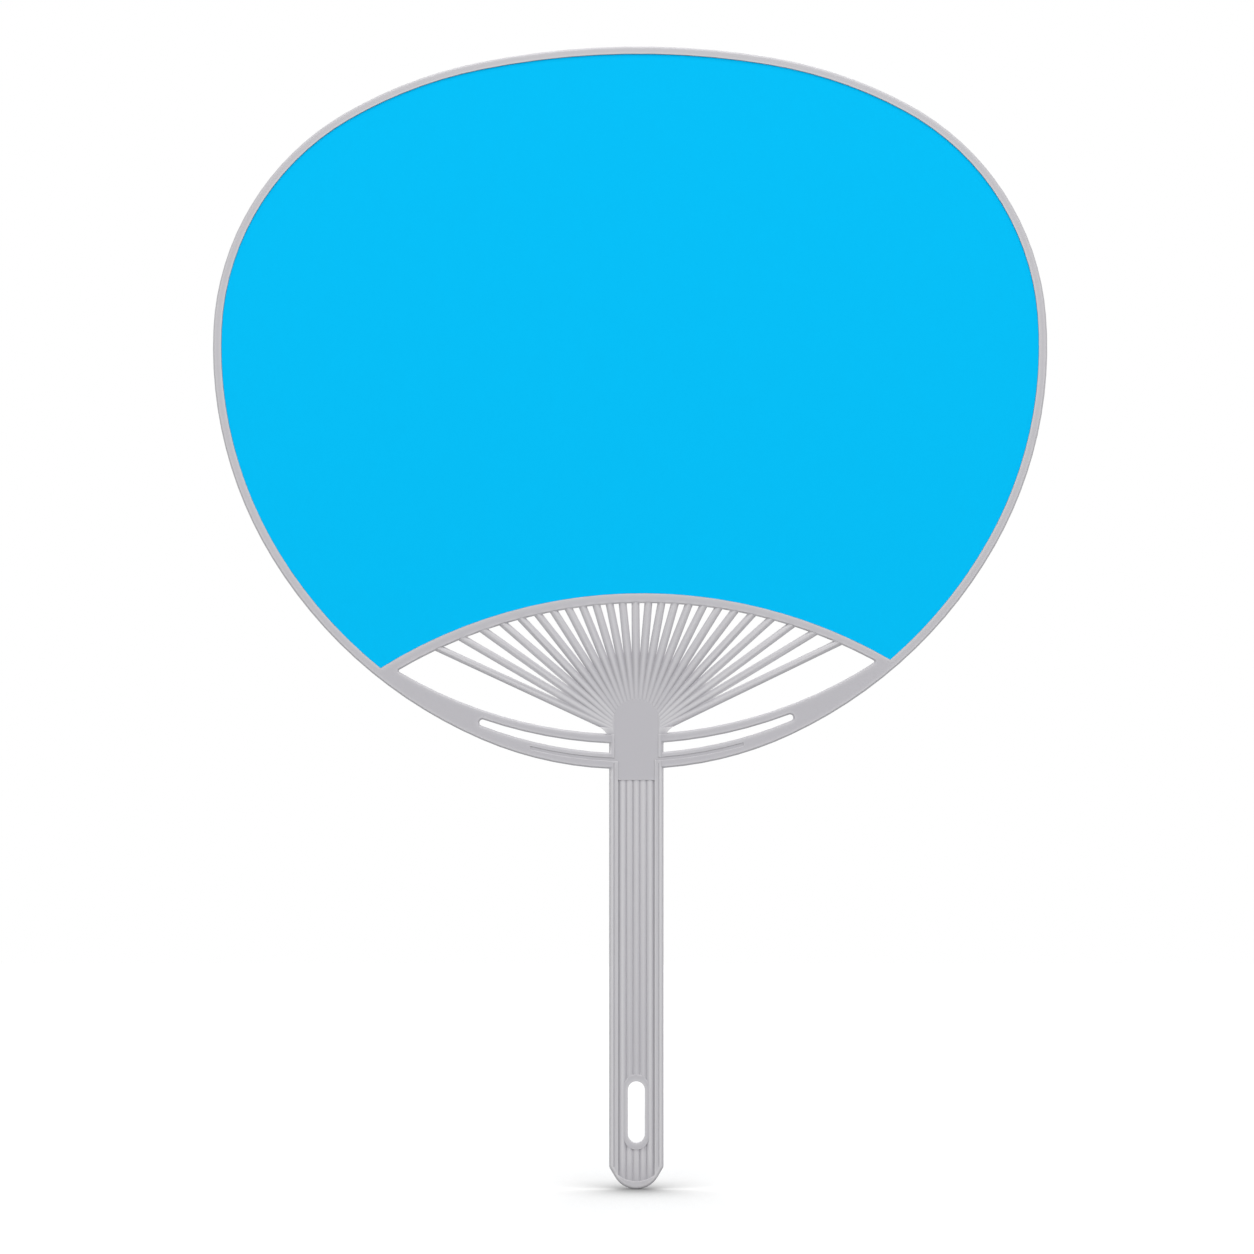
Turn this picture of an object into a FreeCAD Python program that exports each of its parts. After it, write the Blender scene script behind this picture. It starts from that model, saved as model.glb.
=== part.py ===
import FreeCAD, Part
import math
import os
import Sketcher
from types import SimpleNamespace

# Round hand fan: a one-piece moulded frame (reeded handle, hub, twenty-five tapered ribs, bow, arms and
# rim) with a sheet glued to each face. The fan stands on its handle: +Z runs up the handle, the front
# faces -Y, and the origin is the middle of the handle's butt end. Lengths are in millimetres.

SIZES = (
    # Overall
    ("hub_height", 139.8, "centre of the hub above the butt end of the handle"),
    ("head_width", 250.1, "width of the head across its rim"),
    ("head_lean", 0.95, "degrees that the head leans from the handle, seen from the front"),
    # Outline of the head: tangent arcs from the top down each side, radii as shares of head_width
    ("top_share", 0.8111, "top of the rim above the hub's centre, share of head_width"),
    ("crown_radius_share", 0.9677, "first arc, over the top"),
    ("shoulder_radius_share", 0.5309, "second arc"),
    ("flank_radius_share", 0.3161, "third arc"),
    ("side_radius_share", 0.4826, "fourth arc"),
    ("hip_radius_share", 0.5491, "fifth arc"),
    ("arm_radius_share", 0.432, "last arc, under the arms to the handle"),
    ("frame_thickness", 2.8, "rim, bow, arms and handle, front to back"),
    ("edge_bevel", 0.45, "bevel along the edges of the rim, bow and arms"),
    ("crown_turn", 10.41, "degrees turned by the first arc on each side"),
    ("shoulder_turn", 18.78, "degrees"),
    ("flank_turn", 57.19, "degrees"),
    ("side_turn", 34.17, "degrees"),
    ("hip_turn", 35.27, "degrees"),
    # Rim, bow and the seat of the sheets
    ("rim_width", 2.45, "rim beside the sheet, at the sides"),
    ("rim_lift", 0.25, "how much narrower the rim is at the top, and wider at the bottom"),
    ("ledge_width", 2.0, "ledge under the edge of each sheet"),
    ("core_thickness", 1.4, "ledge and ribs between the two sheets"),
    ("bow_rise_share", 0.1553, "top of the bow above the hub's centre, share of head_width"),
    ("bow_radius_share", 0.594, "radius of the bow's upper edge, share of head_width"),
    ("bow_depth", 2.9, "band of the bow below the sheets"),
    ("bow_shift", 0.75, "lower edge of the bow to the right of its upper edge"),
    # Arms, from the bottom up on the head's axis
    ("lower_arm_depth", 4.77, "lower arm"),
    ("arm_slot_depth", 2.82, "slot between the two arms"),
    ("upper_arm_depth", 2.85, "upper arm"),
    ("slot_low_radius_share", 0.497, "radius of the slot's lower edge, share of head_width"),
    ("slot_tip_radius", 0.96, "round outer end of the slot"),
    ("arm_top_radius_share", 0.5442, "radius of the upper arm's top edge, share of head_width"),
    ("slot_reach_share", 0.1883, "outer end of the arm slot from the axis, share of head_width"),
    ("corner_radius", 0.4, "corner where the arm meets the bow"),
    ("groove_drop", 1.95, "groove in the lower arm, below the slot"),
    ("groove_width", 1.0, "groove in the lower arm"),
    ("groove_depth", 0.15, "groove in the lower arm"),
    ("groove_reach_share", 0.128, "outer end of the groove from the axis, share of head_width"),
    # Ribs
    ("rib_count", 25, "ribs in the fan"),
    ("fan_half_angle", 64.8, "degrees from the middle of the fan to the outermost rib"),
    ("fan_turn", 0.48, "degrees that the middle of the fan is turned right from the head's axis"),
    ("fan_drop", 4.95, "point where the ribs meet, below the hub's centre"),
    ("rib_root", 6.5, "start of each rib, from the point where they meet"),
    ("rib_width", 2.6, "rib at its root"),
    ("rib_thickness", 2.6, "rib at its root, front to back"),
    ("rib_tip_width_share", 0.46, "width of the rib at its far end, share of the root's"),
    ("rib_tip_thickness_share", 0.85, "thickness of the rib at its far end, share of the root's"),
    ("root_fillet", 5.5, "corner between the outermost rib and the hub"),
    # Hub
    ("dome_radius", 7.2, "round top of the hub's plate"),
    ("plate_width", 13.2, "hub's plate between its raised sides"),
    ("plate_thickness", 2.5, "hub's plate, front to back"),
    # Handle
    ("handle_width", 16.3, "handle across its flanges"),
    ("edge_round", 1.0, "rounding along the outer edges of the handle"),
    ("end_depth", 7.0, "height of the butt end, where its corners begin"),
    ("end_radius", 7.4, "round bottom of the butt end"),
    ("end_corner_radius", 1.2, "corners of the butt end"),
    ("end_border", 2.4, "border under the channel at the butt end"),
    ("channel_end_radius", 8.9, "round lower end of the channel"),
    ("bead_width", 1.0, "fine bead along the inner edge of each flange"),
    ("bead_groove_width", 0.35, "groove that parts the bead from the flange"),
    ("bead_groove_depth", 0.1, "groove that parts the bead from the flange"),
    ("bead_start", 6.7, "lower end of the groove above the butt end"),
    ("channel_width", 11.0, "channel between the flanges"),
    ("web_thickness", 1.7, "floor of the channel under the reeds, front to back"),
    ("reed_count", 5, "reeds along the channel"),
    ("reed_gap", 0.4, "floor between a flange and the nearest reed"),
    ("reed_height", 0.38, "reeds above the channel's floor"),
    ("reed_start", 2.3, "lower end of the reeds, just inside the border"),
    ("reed_stop", 17.1, "upper end of the reeds below the hub's centre"),
    # Hanging slot
    ("hang_height", 23.15, "middle of the hanging slot above the butt end"),
    ("hang_width", 5.05, "slot"),
    ("hang_length", 18.5, "slot"),
    ("boss_width", 7.4, "smooth ring round the slot"),
    ("boss_length", 22.6, "smooth ring round the slot"),
    ("boss_height", 0.4, "ring above the channel's floor"),
    # Sheets
    ("sheet_thickness", 0.25, "each sheet"),
    ("glue_thickness", 0.05, "film of glue under each sheet"),
    ("sheet_clearance", 0.08, "between a sheet's edge and the rim"),
    ("glue_margin", 0.3, "between the glue's edge and the sheet's edge"),
    # Overrun of cuts
    ("overrun", 2.0, "how far a cut runs past what it cuts"),
)
ARC_NAMES = ("crown", "shoulder", "flank", "side", "hip", "arm")
CLOSING = "closing"

# Half a rib's section: its flat side as a share of the core, and then its shoulder and the edge of its
# crest as shares of the half width and of the half thickness
RIB_SIDE_SHARE = 0.8
RIB_SECTION_SHARES = ((0.7, 0.72), (0.2, 1.0))

UP = FreeCAD.Vector(0, 0, 1)
RIGHT_ANGLE = math.pi / 2

# Two heights closer than this are the same
SAME = 1e-6


def fill_sheet(document):
    """Write the driving sizes into a spreadsheet and return it with a plain copy of its values."""
    sheet = document.addObject("Spreadsheet::Sheet", "sizes")
    for row, (alias, value, note) in enumerate(SIZES, start=1):
        sheet.set(f"A{row}", alias)
        sheet.set(f"B{row}", str(value))
        sheet.setAlias(f"B{row}", alias)
        sheet.set(f"C{row}", note)
    document.recompute()
    return SimpleNamespace(**{row[0]: float(getattr(sheet, row[0])) for row in SIZES})


def point(across, height):
    """A point of a sketch."""
    return FreeCAD.Vector(across, height, 0)


def polar(centre, radius, angle):
    """The point at a distance and an angle from a centre."""
    return point(centre.x + radius * math.cos(angle), centre.y + radius * math.sin(angle))


def arc(centre, radius, start, end, expression=None):
    """A counter-clockwise arc, with the expression that drives its radius."""
    return Part.ArcOfCircle(Part.Circle(centre, UP, radius), start, end), expression


def line(start, end):
    """A straight piece of a loop."""
    return Part.LineSegment(start, end), None


def polygon(corners):
    """A closed loop of straight pieces."""
    return [line(a, b) for a, b in zip(corners, corners[1:] + corners[:1])]


def mirrored_arc(centre, radius, start, end, expression=None):
    """The arc's mirror image across the sketch's upright axis."""
    return arc(point(-centre.x, centre.y), radius, math.pi - end, math.pi - start, expression)


def crossing(low_centre, low_radius, high_centre, high_radius):
    """The right-hand point where two circles cross."""
    apart = high_centre - low_centre
    along = (apart.Length ** 2 + low_radius ** 2 - high_radius ** 2) / (2 * apart.Length)
    aside = math.sqrt(low_radius ** 2 - along ** 2)
    unit = apart / apart.Length
    normal = point(unit.y, -unit.x)
    both = [low_centre + unit * along + normal * sign * aside for sign in (1, -1)]
    return max(both, key=lambda place: place.x)


def angle_of(centre, place):
    """The direction from a centre to a point."""
    return math.atan2(place.y - centre.y, place.x - centre.x)


def add_sketch(body, role, name, loops, offsets=(), axis=None):
    """A sketch on one of the body's own origin planes, with its arcs and offsets bound to the sizes."""
    sketch = body.newObject("Sketcher::SketchObject", name)
    plane = next(item for item in body.Origin.OriginFeatures if item.Role == role)
    sketch.AttachmentSupport = [(plane, "")]
    sketch.MapMode = "FlatFace"
    if axis:
        sketch.AttachmentOffset = FreeCAD.Placement(FreeCAD.Vector(), FreeCAD.Rotation(axis, 1))
    for path, expression in offsets:
        sketch.setExpression(f"AttachmentOffset.{path}", expression)
    for loop in loops:
        draw_loop(sketch, loop)
    return sketch


def draw_loop(sketch, loop):
    """Draw a closed loop, join its ends and drive its radii."""
    indices = [sketch.addGeometry(geometry, False) for geometry, expression in loop]
    ends = [(index, end, sketch.getPoint(index, end)) for index in indices for end in (1, 2)]
    while ends:
        index, end, place = ends.pop(0)
        partner = min(ends, key=lambda other: (other[2] - place).Length)
        ends.remove(partner)
        sketch.addConstraint(Sketcher.Constraint("Coincident", index, end, partner[0], partner[1]))
    for index, (geometry, expression) in zip(indices, loop):
        if expression:
            number = sketch.addConstraint(Sketcher.Constraint("Radius", index, geometry.Radius))
            sketch.setExpression(f"Constraints[{number}]", expression)


def add_pad(body, name, sketch, length):
    """A pad, as thick in front of its sketch as behind it."""
    pad = body.newObject("PartDesign::Pad", name)
    pad.Profile = sketch
    pad.SideType = "Symmetric"
    pad.setExpression("Length", length)
    body.Tip = pad
    return pad


def add_cut(body, name, sketch, length, outward=False):
    """A pocket: through the sketch's both sides, or from its plane outward to the face."""
    cut = body.newObject("PartDesign::Pocket", name)
    cut.Profile = sketch
    if outward:
        cut.Reversed = True
    else:
        cut.SideType = "Symmetric"
    cut.setExpression("Length", length)
    body.Tip = cut
    return cut


def mirror_to_back(body, name, feature):
    """Repeat a feature of the front on the back."""
    mirror = body.newObject("PartDesign::Mirrored", name)
    plane = next(item for item in body.Origin.OriginFeatures if item.Role == "XZ_Plane")
    mirror.Originals = [feature]
    mirror.MirrorPlane = (plane, [""])
    body.Tip = mirror
    return mirror


def outline_arcs(size, inset=0, lift=0):
    """Tangent arcs of the head's right side from the top down: name, centre, radius and two headings."""
    heading = 0
    radii = [size.head_width * getattr(size, f"{name}_radius_share") for name in ARC_NAMES]
    centre = point(0, size.head_width * size.top_share - radii[0] + lift)
    arcs = []
    for name, radius, following in zip(ARC_NAMES, radii, radii[1:] + [None]):
        if following is None:
            # The last named arc ends at the handle's side, and one more closes the outline under the hub
            turned = math.pi - math.asin((size.handle_width / 2 - centre.x) / radius)
            following = radius + centre.x / math.sin(turned)
        else:
            turned = heading + math.radians(getattr(size, f"{name}_turn"))
        arcs.append((name, centre, radius - inset, heading, turned))
        centre = polar(centre, radius - following, RIGHT_ANGLE - turned)
        heading = turned
    arcs.append((CLOSING, centre, following - inset, heading, math.pi))
    return arcs


def outline_loop(arcs, inset_expression=""):
    """The arcs of both sides as pieces of a loop; the first and the closing one cross the axis."""
    pieces = []
    for name, centre, radius, start, end in arcs:
        expression = f"sizes.head_width * sizes.{name}_radius_share{inset_expression}"
        if name == ARC_NAMES[0]:
            pieces.append(arc(centre, radius, RIGHT_ANGLE - end, RIGHT_ANGLE + end, expression))
        elif name == CLOSING:
            pieces.append(arc(centre, radius, start - end - RIGHT_ANGLE, end - start - RIGHT_ANGLE))
        else:
            side = (centre, radius, RIGHT_ANGLE - end, RIGHT_ANGLE - start, expression)
            pieces.append(arc(*side))
            pieces.append(mirrored_arc(*side))
    return pieces


def bow_circle(size):
    """Centre and radius of the bow's upper edge."""
    radius = size.head_width * size.bow_radius_share
    return point(0, size.head_width * size.bow_rise_share - radius), radius


def window_loop(size, inset, inset_expression, bow_lift, bow_expression):
    """The space inside the rim and above the bow, drawn in by an inset from both."""
    bow_centre, bow_radius = bow_circle(size)
    bow_radius += bow_lift
    kept = []
    for name, centre, radius, start, end in outline_arcs(size, inset, size.rim_lift):
        corner = None
        if abs(bow_radius - radius) < (centre - bow_centre).Length < bow_radius + radius:
            corner = crossing(bow_centre, bow_radius, centre, radius)
            heading = math.atan2(corner.x - centre.x, corner.y - centre.y)
            corner = corner if start < heading <= end else None
        if corner:
            kept.append((name, centre, radius, start, heading))
            break
        kept.append((name, centre, radius, start, end))
    angle = angle_of(bow_centre, corner)
    bow = arc(bow_centre, bow_radius, angle, math.pi - angle, bow_expression)
    return outline_loop(kept, inset_expression) + [bow]


def arm_levels(size):
    """Lowest points, on the axis, of the outline, the slot's two edges and the upper arm's top edge."""
    centre, radius = outline_arcs(size)[-1][1:3]
    bottom = centre.y - radius
    slot_low = bottom + size.lower_arm_depth
    slot_high = slot_low + size.arm_slot_depth
    return bottom, slot_low, slot_high, slot_high + size.upper_arm_depth


def lens_loop(size):
    """The open space between the bow and the upper arms, before the ribs and the hub fill its middle."""
    bow_centre, bow_radius = bow_circle(size)
    bow_radius -= size.bow_depth
    arm_radius = size.head_width * size.arm_top_radius_share
    arm_centre = point(0, arm_levels(size)[3] + arm_radius)
    corner = size.corner_radius
    pieces = []
    high = []
    low = []
    for side in (1, -1):
        side_centre = point(side * size.bow_shift, bow_centre.y)
        middle = crossing(side_centre, bow_radius - corner, arm_centre, arm_radius - corner)
        high.append(angle_of(side_centre, middle))
        low.append(angle_of(arm_centre, middle))
        bend = arc if side > 0 else mirrored_arc
        pieces.append(bend(middle, corner, low[-1], high[-1], "sizes.corner_radius"))
    pieces.append(arc(point(size.bow_shift, bow_centre.y), bow_radius, high[0], math.pi - high[1],
                      "sizes.head_width * sizes.bow_radius_share - sizes.bow_depth"))
    pieces.append(arc(arm_centre, arm_radius, -math.pi - low[1], low[0],
                      "sizes.head_width * sizes.arm_top_radius_share"))
    return pieces


def arm_slot_loop(size):
    """The long slot between the arms, with round ends, before the handle fills its middle."""
    slot_low, slot_high = arm_levels(size)[1:3]
    low_radius = size.head_width * size.slot_low_radius_share
    low_centre = point(0, slot_low + low_radius)
    tip = size.slot_tip_radius
    across = size.head_width * size.slot_reach_share - tip
    middle = point(across, low_centre.y - math.sqrt((low_radius - tip) ** 2 - across ** 2))

    # The upper edge passes its own lowest point and touches the round end
    drop = middle.y - slot_high
    high_radius = (across ** 2 + drop ** 2 - tip ** 2) / (2 * (drop + tip))
    high_centre = point(0, slot_high + high_radius)
    low = angle_of(low_centre, middle)
    high = angle_of(high_centre, middle)
    end = (middle, tip, low, high + math.pi, "sizes.slot_tip_radius")
    return [
        arc(low_centre, low_radius, -math.pi - low, low, "sizes.head_width * sizes.slot_low_radius_share"),
        arc(*end),
        arc(high_centre, high_radius, -math.pi - high, high),
        mirrored_arc(*end),
    ]


def rib_section(size, width_share, thickness_share):
    """The crested section of a rib, as a closed polygon across its axis."""
    half_width = size.rib_width / 2 * width_share
    half_thickness = size.rib_thickness / 2 * thickness_share
    quarter = [point(half_width, size.core_thickness / 2 * RIB_SIDE_SHARE)]
    quarter += [point(x * half_width, y * half_thickness) for x, y in RIB_SECTION_SHARES]
    half = quarter + [point(-place.x, place.y) for place in reversed(quarter)]
    return polygon(half + [point(-place.x, -place.y) for place in half])


def add_rib_sketch(body, name, size, distance, width_share, thickness_share):
    """A rib's section square to the axis of the outermost rib, at a distance from where they meet."""
    angle = "sizes.fan_half_angle + sizes.fan_turn"
    offsets = (
        ("Rotation.Angle", angle),
        ("Base.x", f"({distance}) * sin({angle})"),
        ("Base.z", f"({distance}) * cos({angle}) - sizes.fan_drop"),
    )
    section = rib_section(size, width_share, thickness_share)
    return add_sketch(body, "XY_Plane", name, [section], offsets, FreeCAD.Vector(0, 1, 0))


def add_ribs(body, size):
    """Twenty-five tapered ribs in a fan, ending inside the width of the rim."""
    reach = "sizes.head_width * sizes.top_share + sizes.fan_drop + sizes.overrun"
    root = add_rib_sketch(body, "rib_root_section", size, "sizes.rib_root", 1, 1)
    tip = add_rib_sketch(body, "rib_tip_section", size, reach, size.rib_tip_width_share,
                         size.rib_tip_thickness_share)
    rib = body.newObject("PartDesign::AdditiveLoft", "outermost_rib")
    rib.Profile = root
    rib.Sections = [tip]
    rib.Ruled = True
    body.Tip = rib
    centre_mark = [arc(point(0, 0), size.rib_root, 0, math.pi, "sizes.rib_root"),
                   line(point(-size.rib_root, 0), point(size.rib_root, 0))]
    centre = add_sketch(body, "XZ_Plane", "fan_centre", [centre_mark], (("Base.y", "-sizes.fan_drop"),))
    fan = body.newObject("PartDesign::PolarPattern", "ribs")
    fan.Originals = [rib]
    fan.Axis = (centre, ["N_Axis"])
    fan.setExpression("Angle", "2 * sizes.fan_half_angle")
    fan.setExpression("Occurrences", "sizes.rib_count")
    body.Tip = fan

    beyond = size.head_width
    frame = polygon([point(-beyond, -beyond), point(beyond, -beyond), point(beyond, beyond),
                     point(-beyond, beyond)])
    within = outline_loop(outline_arcs(size, size.rim_width / 2), " - sizes.rim_width / 2")
    trim = add_sketch(body, "XZ_Plane", "rib_trim", [frame, within])
    add_cut(body, "rib_ends", trim, "sizes.rib_thickness + sizes.overrun")


def face_edges(shape, face):
    """Names of a shape's edges that lie in its front and back faces."""
    return [
        f"Edge{number}"
        for number, edge in enumerate(shape.Edges, start=1)
        if abs(abs(edge.CenterOfMass.y) - face) < SAME
    ]


def make_rim(document, size):
    """Rim, bow and arms: one bevelled outline, with seats for the sheets."""
    body = document.addObject("PartDesign::Body", "rim_blank")
    lean_with_head(body)
    whole = outline_loop(outline_arcs(size))
    plan = add_sketch(body, "XZ_Plane", "rim_plan", [whole, lens_loop(size), arm_slot_loop(size)])
    rim = add_pad(body, "rim_and_arms", plan, "sizes.frame_thickness")
    document.recompute()

    bevel = body.newObject("PartDesign::Chamfer", "bevelled_edges")
    bevel.Base = (rim, face_edges(rim.Shape, size.frame_thickness / 2))
    bevel.setExpression("Size", "sizes.edge_bevel")
    body.Tip = bevel

    window = window_loop(size, size.rim_width + size.ledge_width, " - sizes.rim_width - sizes.ledge_width",
                         size.ledge_width, "sizes.head_width * sizes.bow_radius_share + sizes.ledge_width")
    add_cut(body, "window", add_sketch(body, "XZ_Plane", "window_plan", [window]),
            "sizes.frame_thickness + sizes.overrun")
    add_sheet_seat(body, size)

    # The handle fills the middle: the arms end inside its flanges
    levels = arm_levels(size)
    across = (size.handle_width / 2 + size.plate_width / 2) / 2
    low = levels[0] - size.overrun
    high = levels[-1] + size.overrun
    middle = polygon([point(-across, low), point(across, low), point(across, high), point(-across, high)])
    add_cut(body, "arm_ends", add_sketch(body, "XZ_Plane", "arm_ends_plan", [middle]),
            "sizes.frame_thickness + sizes.overrun")
    return body


def plate_corner(size, half_angle, floor):
    """The hub plate's right side: its shoulder on the dome, and the fillet under the outermost rib."""
    climb = RIGHT_ANGLE - half_angle
    meeting = point(0, -size.fan_drop)

    # Lower edge of the outermost rib, from its root to its tip
    reach = size.head_width * size.top_share + size.fan_drop + size.overrun
    edge_root, edge_tip = (
        polar(polar(meeting, distance, climb), size.rib_width / 2 * scale, climb - RIGHT_ANGLE)
        for distance, scale in ((size.rib_root, 1), (reach, size.rib_tip_width_share))
    )
    slope = angle_of(edge_root, edge_tip)
    radius = size.root_fillet
    run = (size.handle_width / 2 + radius * (1 - math.sin(slope)) - edge_root.x) / math.cos(slope)
    centre = polar(polar(edge_root, run, slope), radius, slope - RIGHT_ANGLE)
    low = math.pi - math.asin((floor - centre.y) / radius)

    # The dome begins where the axis of the outermost rib leaves its circle
    along = size.fan_drop * math.sin(climb)
    distance = along + math.sqrt(along ** 2 - size.fan_drop ** 2 + size.dome_radius ** 2)
    shoulder = polar(meeting, distance, climb)
    return shoulder, centre, low, slope + RIGHT_ANGLE


def add_hub_plate(body, size):
    """The hub's corners under the outermost ribs, and its smooth round-topped plate a little lower."""
    slot_high, arm_top = arm_levels(size)[2:]
    floor = (slot_high + arm_top) / 2
    radius = size.root_fillet
    rises = []
    feet = []
    loop = []
    for side in (1, -1):
        half_angle = math.radians(size.fan_half_angle + side * size.fan_turn)
        shoulder, centre, low, high = plate_corner(size, half_angle, floor)
        rises.append(angle_of(point(0, 0), shoulder))
        foot = polar(centre, radius, low)
        end = polar(centre, radius, high)
        feet.append(point(side * foot.x, foot.y))
        loop.append(line(point(side * shoulder.x, shoulder.y), point(side * end.x, end.y)))
        bend = arc if side > 0 else mirrored_arc
        loop.append(bend(centre, radius, high, low, "sizes.root_fillet"))
    loop.append(arc(point(0, 0), size.dome_radius, rises[0], math.pi - rises[1], "sizes.dome_radius"))
    loop.append(line(*feet))
    add_pad(body, "hub_corners", add_sketch(body, "XZ_Plane", "hub_corners_plan", [loop]),
            "sizes.rib_thickness")

    plate = size.plate_width / 2
    rise = math.acos(plate / size.dome_radius)
    brow = polar(point(0, 0), size.dome_radius, rise)
    low = floor - size.overrun
    space = [
        arc(point(0, 0), size.dome_radius, rise, math.pi - rise, "sizes.dome_radius"),
        line(brow, point(plate, low)),
        line(point(plate, low), point(-plate, low)),
        line(point(-plate, low), point(-brow.x, brow.y)),
    ]
    recess = add_sketch(body, "XZ_Plane", "hub_plate_plan", [space],
                        (("Base.z", "sizes.plate_thickness / 2"),))
    front = add_cut(body, "hub_plate", recess, "sizes.rib_thickness", outward=True)
    mirror_to_back(body, "hub_plate_back", front)


def add_sheet_seat(body, size):
    """The seats of the two sheets, cut down to the core, level across the ribs and the ledge."""
    window = window_loop(size, size.rim_width, " - sizes.rim_width", 0,
                         "sizes.head_width * sizes.bow_radius_share")
    seat = add_sketch(body, "XZ_Plane", "sheet_seat_plan", [window],
                      (("Base.z", "sizes.core_thickness / 2"),))
    front = add_cut(body, "sheet_seat", seat, "sizes.frame_thickness", outward=True)
    mirror_to_back(body, "sheet_seat_back", front)


def make_arm_grooves(document, size):
    """The space of a shallow groove along each lower arm and each face, open to the hub's plate."""
    body = document.addObject("PartDesign::Body", "arm_groove_space")
    lean_with_head(body)
    radius = size.head_width * size.slot_low_radius_share
    centre = point(0, arm_levels(size)[1] + radius)
    inner = size.plate_width / 2 - size.groove_width
    reach = size.head_width * size.groove_reach_share
    drops = (size.groove_drop - size.groove_width / 2, size.groove_drop + size.groove_width / 2)
    loops = []
    for side in (1, -1):
        ends = []
        pieces = []
        for drop in drops:
            edge = radius + drop
            places = [point(side * across, centre.y - math.sqrt(edge ** 2 - across ** 2))
                      for across in (inner, reach)]
            pieces.append(arc(centre, edge, *sorted(angle_of(centre, place) for place in places)))
            ends.append(places)
        pieces.extend(line(a, b) for a, b in zip(*ends))
        loops.append(pieces)
    plan = add_sketch(body, "XZ_Plane", "arm_groove_plan", loops,
                      (("Base.z", "sizes.frame_thickness / 2 - sizes.groove_depth"),))
    front = body.newObject("PartDesign::Pad", "arm_grooves")
    front.Profile = plan
    front.setExpression("Length", "sizes.groove_depth + sizes.overrun")
    body.Tip = front
    mirror_to_back(body, "arm_grooves_back", front)
    return body


def handle_loop(size, top):
    """The handle's outline: a round bottom, straight slants, small corners and a square top."""
    across = size.handle_width / 2
    corner = size.end_corner_radius
    corner_centre = point(across - corner, size.end_depth)
    bottom_centre = point(0, size.end_radius)

    # Each slant touches the round bottom and the corner at the same angle
    apart = corner_centre - bottom_centre
    meet = angle_of(bottom_centre, corner_centre) - math.acos((size.end_radius - corner) / apart.Length)
    low = polar(bottom_centre, size.end_radius, meet)
    high = polar(corner_centre, corner, meet)
    bend = (corner_centre, corner, meet, 0, "sizes.end_corner_radius")
    return [
        line(point(across, size.end_depth), point(across, top)),
        line(point(across, top), point(-across, top)),
        line(point(-across, top), point(-across, size.end_depth)),
        mirrored_arc(*bend),
        line(point(-high.x, high.y), point(-low.x, low.y)),
        arc(bottom_centre, size.end_radius, -math.pi - meet, meet, "sizes.end_radius"),
        line(low, high),
        arc(*bend),
    ]


def make_handle(document, size):
    """The handle: flanges, a reeded channel on each face, a rounded butt end and a hanging slot."""
    body = document.addObject("PartDesign::Body", "handle_blank")
    levels = arm_levels(size)
    top = size.hub_height + levels[-1]
    groove = size.hub_height + levels[1] - size.groove_drop
    blank = add_pad(body, "blank", add_sketch(body, "XZ_Plane", "handle_plan", [handle_loop(size, top)]),
                    "sizes.frame_thickness")
    document.recompute()

    # Round the long edges and the butt end on both faces, but not the end inside the hub
    edges = [
        name
        for name in face_edges(blank.Shape, size.frame_thickness / 2)
        if blank.Shape.getElement(name).BoundBox.ZMin < top - SAME
    ]
    rounded = body.newObject("PartDesign::Fillet", "rounded_edges")
    rounded.Base = (blank, edges)
    rounded.setExpression("Radius", "sizes.edge_round")
    body.Tip = rounded

    # The channel widens to the hub's plate above the lower arms, and is a little deeper under the reeds
    channel = size.channel_width / 2
    plate = size.plate_width / 2
    above = top + size.overrun
    widened = [point(channel, groove), point(plate, groove), point(plate, above)]
    add_face_cut(body, "channel", [channel_loop(size, widened)], "sizes.plate_thickness / 2")
    reed_top = [point(channel, size.hub_height - size.reed_stop)]
    add_face_cut(body, "reed_bed", [channel_loop(size, reed_top)], "sizes.web_thickness / 2")
    add_reeds(body, size)
    add_hanging_slot(body, size)
    add_bead_grooves(body, size, groove - size.bead_width)
    return body


def channel_loop(size, right_side):
    """The channel's outline: round at the butt end, up the right side's points and down the left's."""
    centre = point(0, size.end_border + size.channel_end_radius)
    swing = math.acos(size.channel_width / 2 / size.channel_end_radius)
    corners = [polar(centre, size.channel_end_radius, -swing), *right_side]
    corners += [point(-corner.x, corner.y) for corner in reversed(corners)]
    end = arc(centre, size.channel_end_radius, -math.pi + swing, -swing, "sizes.channel_end_radius")
    return [line(a, b) for a, b in zip(corners, corners[1:])] + [end]


def add_face_cut(body, name, loops, floor):
    """Cut a shape out of the front and the back, down to a floor."""
    plan = add_sketch(body, "XZ_Plane", f"{name}_plan", loops, (("Base.z", floor),))
    front = add_cut(body, name, plan, "sizes.frame_thickness", outward=True)
    mirror_to_back(body, f"{name}_back", front)


def add_bead_grooves(body, size, top):
    """The fine straight groove that parts a bead from each flange, up to a given height."""
    inner = size.channel_width / 2 + size.bead_width
    outer = inner + size.bead_groove_width
    low = size.bead_start
    loops = [
        polygon([point(side * inner, low), point(side * outer, low), point(side * outer, top),
                 point(side * inner, top)])
        for side in (1, -1)
    ]
    add_face_cut(body, "bead_grooves", loops, "sizes.frame_thickness / 2 - sizes.bead_groove_depth")


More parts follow.
